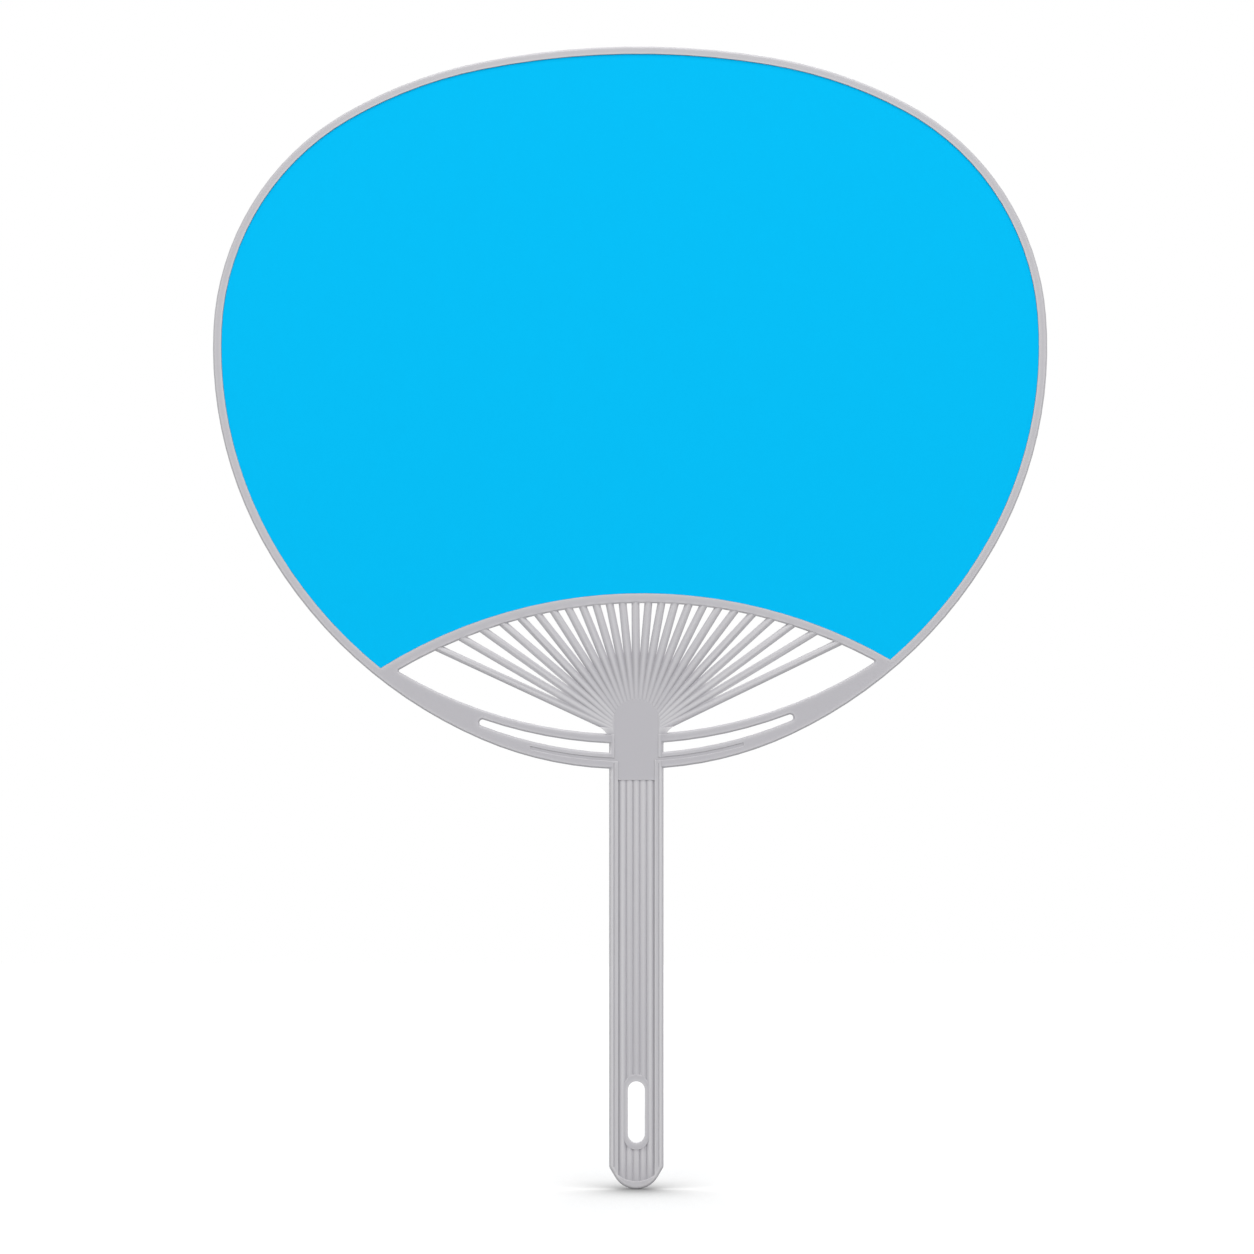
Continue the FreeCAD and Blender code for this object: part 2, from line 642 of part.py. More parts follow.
def add_reeds(body, size):
    """Rounded reeds along both faces of the channel, in one scalloped section."""
    floor = size.web_thickness / 2
    pitch = (size.channel_width - 2 * size.reed_gap) / size.reed_count
    radius = ((pitch / 2) ** 2 + size.reed_height ** 2) / (2 * size.reed_height)
    centre_height = floor + size.reed_height - radius
    swing = math.asin(pitch / 2 / radius)
    count = int(size.reed_count)
    loop = []
    for index in range(count):
        middle = point((index - (count - 1) / 2) * pitch, centre_height)
        angles = (RIGHT_ANGLE - swing, RIGHT_ANGLE + swing)
        loop.append(arc(middle, radius, *angles))
        loop.append(arc(point(middle.x, -middle.y), radius, *(angle + math.pi for angle in angles)))
    side = count * pitch / 2
    loop.append(line(point(side, floor), point(side, -floor)))
    loop.append(line(point(-side, floor), point(-side, -floor)))
    section = add_sketch(body, "XY_Plane", "reed_section", [loop], (("Base.z", "sizes.reed_start"),))
    reeds = body.newObject("PartDesign::Pad", "reeds")
    reeds.Profile = section
    reeds.setExpression("Length", "sizes.hub_height - sizes.reed_stop - sizes.reed_start")
    body.Tip = reeds


def obround(width, length, middle):
    """An upright slot shape with round ends."""
    radius = width / 2
    rise = length / 2 - radius
    high = point(0, middle + rise)
    low = point(0, middle - rise)
    return [
        arc(high, radius, 0, math.pi),
        line(point(-radius, high.y), point(-radius, low.y)),
        arc(low, radius, math.pi, 2 * math.pi),
        line(point(radius, low.y), point(radius, high.y)),
    ]


def add_hanging_slot(body, size):
    """The slot for a hanging cord, through a smooth raised ring."""
    ring = obround(size.boss_width, size.boss_length, size.hang_height)
    boss = add_sketch(body, "XZ_Plane", "hanging_boss_plan", [ring])
    add_pad(body, "hanging_boss", boss, "sizes.web_thickness + 2 * sizes.boss_height")
    slot = obround(size.hang_width, size.hang_length, size.hang_height)
    opening = add_sketch(body, "XZ_Plane", "hanging_slot_plan", [slot])
    add_cut(body, "hanging_slot", opening, "sizes.frame_thickness + sizes.overrun")


def lean_with_head(body):
    """Place a body whose own origin is the hub's centre, and lean it with the head."""
    body.Placement = FreeCAD.Placement(FreeCAD.Vector(), FreeCAD.Rotation(FreeCAD.Vector(0, -1, 0), 1))
    body.setExpression("Placement.Base.z", "sizes.hub_height")
    body.setExpression("Placement.Rotation.Angle", "sizes.head_lean")


def make_fan(document, size):
    """The fan of ribs with the hub's plate."""
    body = document.addObject("PartDesign::Body", "rib_blank")
    lean_with_head(body)
    add_ribs(body, size)
    add_hub_plate(body, size)
    add_sheet_seat(body, size)
    return body


def make_frame(document, size):
    """The one-piece frame: rim, ribs and handle moulded together, less the grooves of the arms."""
    joined = document.addObject("Part::MultiFuse", "joined_frame")
    joined.Shapes = [make_rim(document, size), make_fan(document, size), make_handle(document, size)]
    joined.Refine = True
    frame = document.addObject("Part::Cut", "frame")
    frame.Base = joined
    frame.Tool = make_arm_grooves(document, size)
    return frame


def make_layer(document, size, name, margin, margin_expression, near, thickness, side):
    """A flat layer in the window: a sheet or its glue, on the front (-1) or the back (1)."""
    body = document.addObject("PartDesign::Body", name)
    lean_with_head(body)
    inset = size.rim_width + margin
    loop = window_loop(size, inset, f" - sizes.rim_width - {margin_expression}", margin,
                       f"sizes.head_width * sizes.bow_radius_share + {margin_expression}")
    offset = f"{-side} * ({near})"
    sketch = add_sketch(body, "XZ_Plane", f"{name}_plan", [loop], (("Base.z", offset),))
    layer = body.newObject("PartDesign::Pad", f"{name}_layer")
    layer.Profile = sketch
    layer.Reversed = side > 0
    layer.setExpression("Length", thickness)
    body.Tip = layer
    return body


def make_layers(document, size):
    """Front and back sheets, each on its film of glue."""
    core = "sizes.core_thickness / 2"
    glue_margin = size.sheet_clearance + size.glue_margin
    layers = []
    for face, side in (("front", -1), ("back", 1)):
        layers.append(make_layer(document, size, f"{face}_glue", glue_margin,
                                 "(sizes.sheet_clearance + sizes.glue_margin)", core,
                                 "sizes.glue_thickness", side))
        layers.append(make_layer(document, size, f"{face}_sheet", size.sheet_clearance,
                                 "sizes.sheet_clearance", f"{core} + sizes.glue_thickness",
                                 "sizes.sheet_thickness", side))
    return layers


def check(document, pieces):
    """Stop when an object has failed or a piece is not a valid solid."""
    for item in document.Objects:
        if "Invalid" in item.State or "Error" in item.State:
            raise RuntimeError(f"{item.Label} failed: {item.State}")
    for piece in pieces:
        shape = piece.Shape
        if shape.isNull() or not shape.isValid() or not shape.Solids:
            raise RuntimeError(f"{piece.Label} has no valid shape")
        box = shape.optimalBoundingBox(False)
        print(f"{piece.Label}: {len(shape.Solids)} solid, {shape.Volume:.1f} mm3, "
              f"{box.XLength:.2f} x {box.YLength:.2f} x {box.ZLength:.2f} mm")


def main():
    """Build the document, check it and write each sub-part."""
    os.makedirs("parts", exist_ok=True)
    document = FreeCAD.newDocument("round_hand_fan")
    size = fill_sheet(document)
    pieces = [make_frame(document, size)] + make_layers(document, size)
    document.recompute()
    check(document, pieces)
    for piece in pieces:
        piece.Shape.exportStep(f"parts/{piece.Label}.step")


main()
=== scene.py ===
"""Looks of a round hand fan: moulded plastic frame, two blue sheets, glue and a white studio."""

import logging
import math
from dataclasses import dataclass, field
from enum import Enum
from typing import Any, Optional, Union

import bmesh
import bpy
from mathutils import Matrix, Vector

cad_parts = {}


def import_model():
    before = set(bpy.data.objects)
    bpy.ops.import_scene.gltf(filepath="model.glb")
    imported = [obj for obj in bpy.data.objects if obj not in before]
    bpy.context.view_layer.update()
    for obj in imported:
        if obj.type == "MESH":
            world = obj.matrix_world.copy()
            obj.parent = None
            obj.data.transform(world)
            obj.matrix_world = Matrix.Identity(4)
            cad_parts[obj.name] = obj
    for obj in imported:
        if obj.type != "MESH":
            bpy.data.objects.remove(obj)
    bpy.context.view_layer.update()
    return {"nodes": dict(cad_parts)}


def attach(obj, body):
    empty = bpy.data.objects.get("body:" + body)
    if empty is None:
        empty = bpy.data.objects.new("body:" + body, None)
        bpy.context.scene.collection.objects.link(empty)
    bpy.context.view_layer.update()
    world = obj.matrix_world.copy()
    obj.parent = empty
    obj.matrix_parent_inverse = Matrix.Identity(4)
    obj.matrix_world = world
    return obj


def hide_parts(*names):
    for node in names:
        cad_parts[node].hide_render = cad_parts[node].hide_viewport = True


log = logging.getLogger("hand_fan")

Triple = tuple[float, float, float]
Colour = Triple
Value = Union[float, "Signal"]
Shade = Union[Colour, "Signal"]

MM = 0.001
PAINTED_RELIEF = "relief"

# Sockets of a Mix node that mixes colours
MIX_SHARE, MIX_LOW, MIX_HIGH, MIX_RESULT = 0, 6, 7, 2


class Body(Enum):
    """The rigid bodies that pieces ride on."""

    WHOLE = "root"


class Node(Enum):
    """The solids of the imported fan."""

    FRAME = "frame"
    FRONT_SHEET = "front_sheet"
    BACK_SHEET = "back_sheet"
    FRONT_GLUE = "front_glue"
    BACK_GLUE = "back_glue"


class Slot(Enum):
    """The name of the frame's material slot."""

    FRAME = "frame_plastic"


class Signal:
    """A shader socket whose arithmetic adds Math nodes."""

    def __init__(self, graph: "Graph", socket: Optional[bpy.types.NodeSocket]) -> None:
        """Wrap a socket.

        Args:
            graph: the graph that the socket belongs to.
            socket: the output to read, or None for a node that has none.
        """
        self.graph = graph
        self.socket = socket

    def _math(self, operation: str, *values: Value) -> "Signal":
        """Add a Math node.

        Args:
            operation: the node's operation.
            values: its inputs in order.

        Returns:
            The node's result.
        """
        inputs = dict(enumerate(values))
        return self.graph.add("ShaderNodeMath", {"operation": operation}, inputs)

    def __add__(self, other: Value) -> "Signal":
        """Sum."""
        return self._math("ADD", self, other)

    __radd__ = __add__

    def __sub__(self, other: Value) -> "Signal":
        """Difference."""
        return self._math("SUBTRACT", self, other)

    def __rsub__(self, other: Value) -> "Signal":
        """Difference from a number."""
        return self._math("SUBTRACT", other, self)

    def __mul__(self, other: Value) -> "Signal":
        """Product."""
        return self._math("MULTIPLY", self, other)

    __rmul__ = __mul__

    def __truediv__(self, other: Value) -> "Signal":
        """Quotient."""
        return self._math("DIVIDE", self, other)

    def __rtruediv__(self, other: Value) -> "Signal":
        """Quotient of a number."""
        return self._math("DIVIDE", other, self)

    def __pow__(self, other: Value) -> "Signal":
        """Power."""
        return self._math("POWER", self, other)

    def __rpow__(self, other: Value) -> "Signal":
        """Power of a number."""
        return self._math("POWER", other, self)

    def __abs__(self) -> "Signal":
        """Distance from nought."""
        return self._math("ABSOLUTE", self)

    def below(self, limit: float) -> "Signal":
        """One where the value is under a limit, nought elsewhere."""
        return self._math("LESS_THAN", self, limit)

    def within(self, low: float, high: float) -> "Signal":
        """The value held between two limits."""
        return self._math("MAXIMUM", self._math("MINIMUM", self, high), low)

    def swing(self, size: float) -> "Signal":
        """Noise from nought to one, made to swing about nought."""
        return (self - 0.5) * size


class Graph:
    """The node tree of one material or of the world."""

    def __init__(self, tree: bpy.types.NodeTree) -> None:
        """Start from an empty tree.

        Args:
            tree: the tree to fill.
        """
        self.tree = tree
        tree.nodes.clear()

    def add(
        self, kind: str, settings: dict[str, Any], inputs: dict[Any, Any], output: Union[int, str] = 0
    ) -> Signal:
        """Add one node.

        Args:
            kind: the node's type.
            settings: its properties, and a ramp's stops under "stops".
            inputs: values or links, by socket name or number.
            output: name or number of the output to read.

        Returns:
            The wanted output, empty for a node that has none.
        """
        node = self.tree.nodes.new(kind)
        for name, value in settings.items():
            if name == "stops":
                self._set_stops(node.color_ramp.elements, value)
            else:
                setattr(node, name, value)
        for name, value in inputs.items():
            if isinstance(value, Signal):
                self.tree.links.new(value.socket, node.inputs[name])
            else:
                node.inputs[name].default_value = value
        return Signal(self, node.outputs[output] if len(node.outputs) else None)

    @staticmethod
    def _set_stops(elements: Any, stops: list[tuple[float, Colour]]) -> None:
        """Set a ramp's stops.

        Args:
            elements: the ramp's elements.
            stops: place and colour of each.
        """
        while len(elements) < len(stops):
            elements.new(1.0)
        for element, (place, colour) in zip(elements, stops):
            element.position = place
            element.color = (*colour, 1.0)

    def place(self) -> Signal:
        """Object coordinates."""
        return self.add("ShaderNodeTexCoord", {}, {}, "Object")

    def axis(self, place: Signal, letter: str) -> Signal:
        """One coordinate of a place."""
        return self.add("ShaderNodeSeparateXYZ", {}, {0: place}, letter)

    def noise(
        self, place: Signal, grain_mm: float, detail: float, stretch: Triple = (1.0, 1.0, 1.0)
    ) -> Signal:
        """Smooth noise from nought to one.

        Args:
            place: where it is read.
            grain_mm: size of one patch in millimetres.
            detail: number of finer layers.
            stretch: how much denser the noise is along each axis.

        Returns:
            The noise.
        """
        spread = self.add("ShaderNodeMapping", {}, {"Vector": place, "Scale": stretch})
        inputs = {"Vector": spread, "Scale": 1 / (grain_mm * MM), "Detail": detail}
        return self.add("ShaderNodeTexNoise", {}, inputs, "Fac")

    def openness(
        self, reach_mm: float, inside: bool = False, local: bool = True, samples: int = 8
    ) -> Signal:
        """How free a place is of surfaces nearby.

        Args:
            reach_mm: how far is looked, in millimetres.
            inside: look into the solid, which finds its outer edges, and not out of it.
            local: look only at the piece's own surfaces.
            samples: how many directions are looked in.

        Returns:
            One in the open, less beside other surfaces.
        """
        settings = {"inside": inside, "only_local": local, "samples": samples}
        return self.add("ShaderNodeAmbientOcclusion", settings, {"Distance": reach_mm * MM}, "AO")

    def blend(self, share: Value, low: Shade, high: Shade) -> Signal:
        """Mix two colours.

        Args:
            share: nought for the low colour, one for the high one.
            low: a colour, or a socket that gives one.
            high: another.

        Returns:
            The mixed colour.
        """
        settings = {"data_type": "RGBA", "clamp_factor": True}
        low, high = (end if isinstance(end, Signal) else (*end, 1.0) for end in (low, high))
        inputs = {MIX_SHARE: share, MIX_LOW: low, MIX_HIGH: high}
        return self.add("ShaderNodeMix", settings, inputs, MIX_RESULT)


@dataclass(frozen=True)
class Finish:
    """A surface that every finish of the fan starts from."""

    name: str
    colour: Colour

    def material(self) -> bpy.types.Material:
        """Make the material.

        Returns:
            The finished material.
        """
        made = bpy.data.materials.new(self.name)
        made.use_nodes = True
        made.diffuse_color = (*self.colour, 1.0)
        graph = Graph(made.node_tree)
        shader = self.surface(graph)
        graph.add("ShaderNodeOutputMaterial", {}, {"Surface": shader})
        return made

    def surface(self, graph: Graph) -> Signal:
        """Add the nodes of the surface; each finish has its own.

        Args:
            graph: the material's tree.

        Returns:
            The shader.
        """
        raise NotImplementedError

    def shade(self, share: float) -> Colour:
        """The colour made lighter or darker by a share."""
        red, green, blue = (channel * share for channel in self.colour)
        return red, green, blue


@dataclass(frozen=True)
class MouldedPlastic(Finish):
    """Satin injection-moulded plastic: fine spark-eroded grain, faint flow marks, a parting line, and
    painted highlights and shade.
    """

    refraction: float = 1.49
    roughness: float = 0.46
    roughness_swing: float = 0.16
    grain_mm: float = 0.35
    grain_detail: float = 3.0
    grain_height_mm: float = 0.006
    grain_share: float = 0.3
    flow_mm: float = 30.0
    flow_detail: float = 2.0
    flow_swing: float = 0.05
    parting_mm: float = 0.05
    parting_height_mm: float = 0.02
    edge_mm: float = 0.2
    edge_samples: int = 8

    # Tone, as a share of the colour: how far it goes, the painted shade in hollows, and the painted
    # highlight on thin edges and crests
    tone_reach: float = 0.5
    painted_hollow_reach_mm: float = 1.2
    painted_hollow_shade: float = 0.8
    painted_hollow_most: float = 0.08
    painted_highlight_reach_mm: float = 1.5
    painted_crest_highlight: float = 0.5
    painted_highlight_tint: Colour = (0.0, 0.008, -0.025)
    painted_relief_light: float = 0.22

    def surface(self, graph: Graph) -> Signal:
        """Add the plastic's nodes.

        Args:
            graph: the material's tree.

        Returns:
            The shader.
        """
        place = graph.place()
        grain = graph.noise(place, self.grain_mm, self.grain_detail)
        flow = graph.noise(place, self.flow_mm, self.flow_detail)
        tone = self._tone_with_painted_light(graph, flow * (1 - self.grain_share) + grain * self.grain_share)
        # The lightest stop carries the tint of the painted highlight
        lightest = zip(self.shade(1 + self.tone_reach), self.painted_highlight_tint)
        stops = [
            (0.0, self.shade(1 - self.tone_reach)),
            (0.5, self.colour),
            (1.0, tuple(channel + change for channel, change in lightest)),
        ]
        along = (tone - (1 - self.tone_reach)) / (2 * self.tone_reach)
        colour = graph.add("ShaderNodeValToRGB", {"stops": stops}, {0: along}, "Color")

        # Where the two mould halves met, halfway through the thickness, a fine raised line
        parting = 1 - (abs(graph.axis(place, "Y")) / (self.parting_mm * MM)).within(0.0, 1.0)
        height = grain * self.grain_height_mm + parting * self.parting_height_mm
        rounding = {"Radius": self.edge_mm * MM}
        soft = graph.add("ShaderNodeBevel", {"samples": self.edge_samples}, rounding)
        raised = {"Height": height, "Strength": 1.0, "Distance": MM, "Normal": soft}
        inputs = {
            "Base Color": colour,
            "Roughness": self.roughness + grain.swing(self.roughness_swing),
            "IOR": self.refraction,
            "Normal": graph.add("ShaderNodeBump", {}, raised),
        }
        return graph.add("ShaderNodeBsdfPrincipled", {}, inputs)

    def _tone_with_painted_light(self, graph: Graph, cloud: Signal) -> Signal:
        """Painted light on the plastic: painted highlight where it is thin or crested, painted shade in
        its grooves.

        Args:
            graph: the material's tree.
            cloud: noise from nought to one that clouds it.

        Returns:
            A factor on the colour, near one.
        """
        # Painted shade: darker where other surfaces of the frame are near, in grooves and hollows
        hollow = ((1 - graph.openness(self.painted_hollow_reach_mm)) * self.painted_hollow_shade).within(0.0, self.painted_hollow_most)
        # Painted highlight: lighter where the solid is thin or crested
        crest = (1 - graph.openness(self.painted_highlight_reach_mm, inside=True)) * self.painted_crest_highlight
        # Painted highlight on crests and painted shade in valleys, stored at the frame's corners
        relief = graph.add("ShaderNodeAttribute", {"attribute_name": PAINTED_RELIEF}, {}, "Fac")
        return 1 + cloud.swing(self.flow_swing) - hollow + crest + relief * self.painted_relief_light


@dataclass(frozen=True)
class CoatedPaper(Finish):
    """Paper printed in one colour under a matt coat: fine fibres, and a white core at the cut edge."""

    core: Colour = (0.86, 0.85, 0.82)
    core_within_mm: float = 0.98
    roughness: float = 0.62
    roughness_swing: float = 0.1
    shine: float = 0.02
    print_swing: float = 0.015
    fibre_mm: float = 0.5
    fibre_detail: float = 3.0
    fibre_stretch: Triple = (0.35, 1.0, 1.6)
    fibre_height_mm: float = 0.004
    cloud_mm: float = 9.0
    cloud_detail: float = 2.0
    cloud_share: float = 0.6

    def surface(self, graph: Graph) -> Signal:
        """Add the paper's nodes.

        Args:
            graph: the material's tree.

        Returns:
            The shader.
        """
        place = graph.place()
        across = graph.noise(place, self.fibre_mm, self.fibre_detail, self.fibre_stretch)
        along = graph.noise(place, self.fibre_mm, self.fibre_detail, self.fibre_stretch[::-1])
        cloud = graph.noise(place, self.cloud_mm, self.cloud_detail)
        fibres = (across + along) * 0.5
        ink = cloud * self.cloud_share + fibres * (1 - self.cloud_share)
        printed = graph.blend(ink, self.shade(1 - self.print_swing), self.shade(1 + self.print_swing))
        unprinted = abs(graph.axis(place, "Y")).below(self.core_within_mm * MM)
        colour = graph.blend(unprinted, printed, self.core)
        raised = {"Height": fibres * self.fibre_height_mm, "Strength": 1.0, "Distance": MM}
        inputs = {
            "Base Color": colour,
            "Roughness": self.roughness + cloud.swing(self.roughness_swing),
            "Specular IOR Level": self.shine,
            "Normal": graph.add("ShaderNodeBump", {}, raised),
        }
        return graph.add("ShaderNodeBsdfPrincipled", {}, inputs)


@dataclass(frozen=True)
class DriedGlue(Finish):
    """Dried white glue: milky, slightly yellow, brushed on in streaks."""

    roughness: float = 0.35
    roughness_more: float = 0.2
    thin_shade: float = 0.9
    thick_shade: float = 1.06
    streak_mm: float = 2.5
    streak_detail: float = 3.0
    streak_stretch: Triple = (0.2, 1.0, 1.0)
    streak_height_mm: float = 0.03

    def surface(self, graph: Graph) -> Signal:
        """Add the glue's nodes.

        Args:
            graph: the material's tree.

        Returns:
            The shader.
        """
        place = graph.place()
        streaks = graph.noise(place, self.streak_mm, self.streak_detail, self.streak_stretch)
        thin, thick = self.shade(self.thin_shade), self.shade(self.thick_shade)
        raised = {"Height": streaks * self.streak_height_mm, "Strength": 1.0, "Distance": MM}
        inputs = {
            "Base Color": graph.blend(streaks, thin, thick),
            "Roughness": self.roughness + streaks * self.roughness_more,
            "Normal": graph.add("ShaderNodeBump", {}, raised),
        }
        return graph.add("ShaderNodeBsdfPrincipled", {}, inputs)


@dataclass
class MouldedFrame:
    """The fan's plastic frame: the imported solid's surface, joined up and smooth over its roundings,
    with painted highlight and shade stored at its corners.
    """

    solid: bpy.types.Object
    finish: Finish
    weld_mm: float = 0.002
    level_degrees: float = 0.3
    crease_degrees: float = 18.0

    # Heights where long faces are cut, so that the flanges' beads keep their painted highlight and shade
    # to their ends
    flange_ends_mm: tuple[float, ...] = (9.0, 11.0, 122.0, 125.0)

    # Painted light: a bend of full_bend radians a millimetre gets a full painted highlight, and faces
    # wider than broad_mm get none. A corner that leans by full_lean loses flank_highlight_fall of its
    # painted highlight, or all of its painted shade.
    broad_mm: float = 1.2
    full_bend: float = 0.35
    full_lean: float = 0.25
    flank_highlight_fall: float = 0.8

    # Painted shade in valleys: how strong it is beside a crest, how many full bends it can reach, and
    # how far up their flanks, and at what share, it spreads
    valley_painted_shade: float = 0.6
    valley_most: float = 1.6
    valley_reach_mm: float = 0.25
    valley_shade_spread: float = 0.5

    def build(self) -> bpy.types.Object:
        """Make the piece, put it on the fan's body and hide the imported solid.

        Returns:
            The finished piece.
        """
        mesh = bpy.data.meshes.new("moulded_frame")
        self._join(mesh)
        mesh.shade_smooth()
        mesh.set_sharp_from_angle(angle=math.radians(self.crease_degrees))
        mesh.materials.append(self.finish.material())
        piece = bpy.data.objects.new(mesh.name, mesh)
        bpy.context.scene.collection.objects.link(piece)
        even = piece.modifiers.new("even_flats", "WEIGHTED_NORMAL")
        even.mode = "FACE_AREA_WITH_ANGLE"
        even.keep_sharp = True
        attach(piece, Body.WHOLE.value)
        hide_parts(Node.FRAME.value)
        log.info("%s: %s, %d faces", piece.name, self.finish.name, len(mesh.polygons))
        return piece

    def _join(self, mesh: bpy.types.Mesh) -> None:
        """Merge the solid's loose triangles, with level ones made into one face.

        Args:
            mesh: the mesh to fill.
        """
        shape = bmesh.new()
        shape.from_mesh(self.solid.data)
        bmesh.ops.remove_doubles(shape, verts=shape.verts, dist=self.weld_mm * MM)
        level = math.radians(self.level_degrees)
        bmesh.ops.dissolve_limit(shape, angle_limit=level, verts=shape.verts, edges=shape.edges)
        for height in self.flange_ends_mm:
            parts = [*shape.verts, *shape.edges, *shape.faces]
            bmesh.ops.bisect_plane(shape, geom=parts, plane_co=(0, 0, height * MM), plane_no=(0, 0, 1))
        bmesh.ops.recalc_face_normals(shape, faces=shape.faces)
        self._mark_painted_relief(shape)
        shape.to_mesh(mesh)
        shape.free()

    def _mark_painted_relief(self, shape: bmesh.types.BMesh) -> None:
        """Store at each corner a painted highlight or painted shade, from how crested or hollow the
        narrow faces around it are.

        Corners by a broad face get nought, and those a short way up from a valley share its painted
        shade.

        Args:
            shape: the frame.
        """
        relief = shape.verts.layers.float.new(PAINTED_RELIEF)
        width = {face: 2 * face.calc_area() / face.calc_perimeter() for face in shape.faces}
        for corner in shape.verts:
            if max(width[face] for face in corner.link_faces) <= self.broad_mm * MM:
                corner[relief] = self._painted_relief_at(corner, width)

        spread_shade = -self.valley_painted_shade * self.valley_shade_spread
        valleys = {corner for corner in shape.verts if corner[relief] < spread_shade}
        short = [edge for edge in shape.edges if edge.calc_length() < self.valley_reach_mm * MM]
        beside = [edge for edge in short if not valleys.isdisjoint(edge.verts)]
        for corner in {corner for edge in beside for corner in edge.verts} - valleys:
            corner[relief] = spread_shade

    def _painted_relief_at(self, corner: bmesh.types.BMVert, width: dict[bmesh.types.BMFace, float]) -> float:
        """The painted highlight or shade at a corner, from how crested or hollow the narrow faces around
        it are.

        Args:
            corner: the corner.
            width: the mean width of each face, in metres.

        Returns:
            Up to one, a painted highlight, on a crest that faces front or back; below nought, painted
            shade, in a valley.
        """
        length = bend = 0.0
        for edge in corner.link_edges:
            run = edge.calc_length()
            across = sum(width[face] for face in edge.link_faces) / 2
            length += run
            bend += edge.calc_face_angle_signed(0.0) * run / across
        crest = max(-self.valley_most, min(1.0, bend * MM / length / self.full_bend))
        lean = min(1.0, (1 - abs(corner.normal.y)) / self.full_lean)
        if crest > 0:
            return (1 - lean * self.flank_highlight_fall) * crest
        return (1 - lean) * self.valley_painted_shade * crest


@dataclass
class SolidDressing:
    """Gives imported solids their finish."""

    nodes: dict[str, bpy.types.Object]
    pairs: dict[Node, Finish] = field(default_factory=dict)

    def dress(self) -> None:
        """Put each finish on its solid, one material for each finish."""
        made: dict[Finish, bpy.types.Material] = {}
        for node, finish in self.pairs.items():
            if finish not in made:
                made[finish] = finish.material()
            mesh = self.nodes[node.value].data
            mesh.materials.clear()
            mesh.materials.append(made[finish])
            log.info("%s: %s, %d faces", node.value, finish.name, len(mesh.polygons))


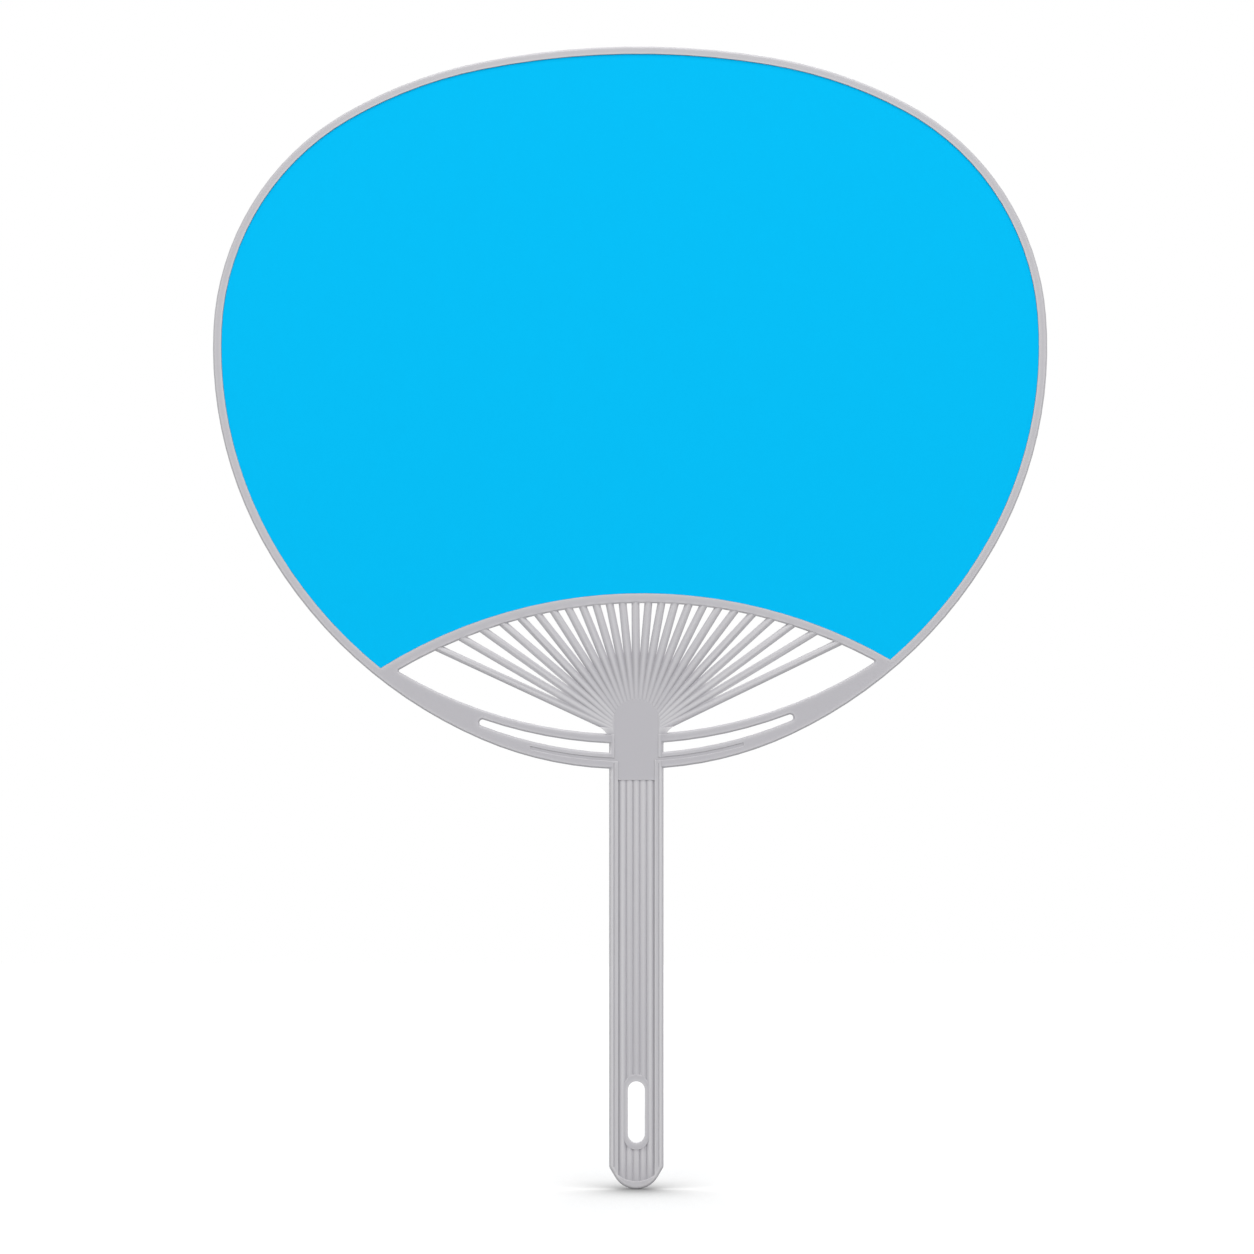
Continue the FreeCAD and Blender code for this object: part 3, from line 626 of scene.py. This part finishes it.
@dataclass
class Studio:
    """White floor and background, a soft lamp above on each side of the fan, and the camera."""

    image_width_mm: float = 376.2
    middle_mm: tuple[float, float] = (-2.8, 168.6)
    camera_distance: float = 1.8
    camera_sight: float = 100.0
    sensor_mm: float = 36.0
    surround_least: float = 0.337
    surround_facing: float = 1.02
    lamp_headings: tuple[Triple, ...] = ((0.04, -0.6, 0.8), (-0.04, 0.6, 0.8))
    lamp_distance: float = 6.0
    lamp_side: float = 5.0
    lamp_power: float = 219.5
    floor_side: float = 2.4
    floor_shade: float = 0.355
    floor_lift: float = 0.64

    # Soft shadows where the fan stands, painted into the floor's glow: how far each reaches in
    # millimetres, and how deep it is
    painted_contact_shadows: tuple[tuple[float, float], ...] = ((30.0, 1.1), (120.0, 3.8))
    contact_samples: int = 24

    def build(self) -> None:
        """Add the camera, the lamps, the floor and the world."""
        self.add_camera()
        for heading in self.lamp_headings:
            self.add_lamp(Vector(heading).normalized())
        self.add_floor()
        self.set_world()

    def add_camera(self) -> None:
        """A long lens straight in front of the fan."""
        data = bpy.data.cameras.new("camera")
        data.sensor_width = self.sensor_mm
        data.lens = self.sensor_mm * self.camera_distance / (self.image_width_mm * MM)
        data.clip_end = self.camera_sight
        camera = bpy.data.objects.new("camera", data)
        across, up = self.middle_mm
        camera.location = (across * MM, -self.camera_distance, up * MM)
        camera.rotation_euler = (math.radians(90), 0, 0)
        bpy.context.scene.collection.objects.link(camera)
        bpy.context.scene.camera = camera

    def add_lamp(self, heading: Vector) -> None:
        """Add a wide soft lamp.

        Args:
            heading: unit vector from the fan to the lamp.
        """
        data = bpy.data.lights.new("soft_lamp", "AREA")
        data.shape = "SQUARE"
        data.size = self.lamp_side
        data.energy = self.lamp_power
        lamp = bpy.data.objects.new("soft_lamp", data)
        lamp.location = Vector((0, 0, self.middle_mm[1] * MM)) + heading * self.lamp_distance
        lamp.rotation_euler = heading.to_track_quat("Z", "Y").to_euler()
        bpy.context.scene.collection.objects.link(lamp)

    def add_floor(self) -> None:
        """A plain white floor that shows only the fan's shadow, partly real and partly painted."""
        shape = bmesh.new()
        bmesh.ops.create_grid(shape, x_segments=1, y_segments=1, size=self.floor_side / 2)
        mesh = bpy.data.meshes.new("floor")
        shape.to_mesh(mesh)
        shape.free()
        floor = bpy.data.objects.new("floor", mesh)
        bpy.context.scene.collection.objects.link(floor)
        mesh.materials.append(self._floor_material())

    def _floor_material(self) -> bpy.types.Material:
        """White, and lifted for the camera so that only the shadow where the fan stands, partly real and
        partly painted into the lift, stays darker than white.

        Returns:
            The material.
        """
        made = bpy.data.materials.new("white_floor")
        made.use_nodes = True
        graph = Graph(made.node_tree)
        shade = self.floor_shade
        plain = graph.add("ShaderNodeBsdfDiffuse", {}, {"Color": (shade, shade, shade, 1.0)})
        glow = self._seen(graph) * self.floor_lift
        # Painted shadow: the glow dims where the fan's surfaces are near the floor
        for reach_mm, depth in self.painted_contact_shadows:
            openness = graph.openness(reach_mm, local=False, samples=self.contact_samples)
            glow = glow * openness**depth
        lift = graph.add("ShaderNodeEmission", {}, {"Color": (1, 1, 1, 1), "Strength": glow})
        both = graph.add("ShaderNodeAddShader", {}, {0: plain, 1: lift})
        graph.add("ShaderNodeOutputMaterial", {}, {"Surface": both})
        return made

    @staticmethod
    def _seen(graph: Graph) -> Signal:
        """One for rays from the camera, mirror reflections and transmission.

        Args:
            graph: the tree that asks.

        Returns:
            The mask.
        """
        kinds = ("Is Camera Ray", "Is Glossy Ray", "Is Transmission Ray")
        rays = [graph.add("ShaderNodeLightPath", {}, {}, kind) for kind in kinds]
        return (rays[0] + rays[1] + rays[2]).within(0.0, 1.0)

    def set_world(self) -> None:
        """White where it is seen; as light on the fan, stronger on its two faces than from the sides."""
        world = bpy.data.worlds.new("surround")
        world.use_nodes = True
        graph = Graph(world.node_tree)
        towards = graph.axis(graph.add("ShaderNodeTexCoord", {}, {}, "Generated"), "Y")
        light = towards * towards * self.surround_facing + self.surround_least
        strength = light + self._seen(graph) * (1 - light)
        back = graph.add("ShaderNodeBackground", {}, {"Color": (1, 1, 1, 1), "Strength": strength})
        graph.add("ShaderNodeOutputWorld", {}, {"Surface": back})
        bpy.context.scene.world = world
        bpy.context.scene.view_settings.view_transform = "Standard"


def main() -> None:
    """Build the studio and dress the fan."""
    logging.basicConfig(level=logging.INFO, format="%(name)s %(message)s")
    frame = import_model()
    Studio().build()
    plastic = MouldedPlastic("frame_plastic", (0.476, 0.466, 0.494))
    paper = CoatedPaper("sheet_paper", (0.0008, 0.5, 0.895))
    glue = DriedGlue("dried_glue", (0.80, 0.78, 0.70))
    MouldedFrame(frame["nodes"][Node.FRAME.value], plastic).build()
    pairs: dict[Node, Finish] = {
        Node.FRONT_SHEET: paper,
        Node.BACK_SHEET: paper,
        Node.FRONT_GLUE: glue,
        Node.BACK_GLUE: glue,
    }
    SolidDressing(frame["nodes"], pairs).dress()


if __name__ == "__main__":
    main()
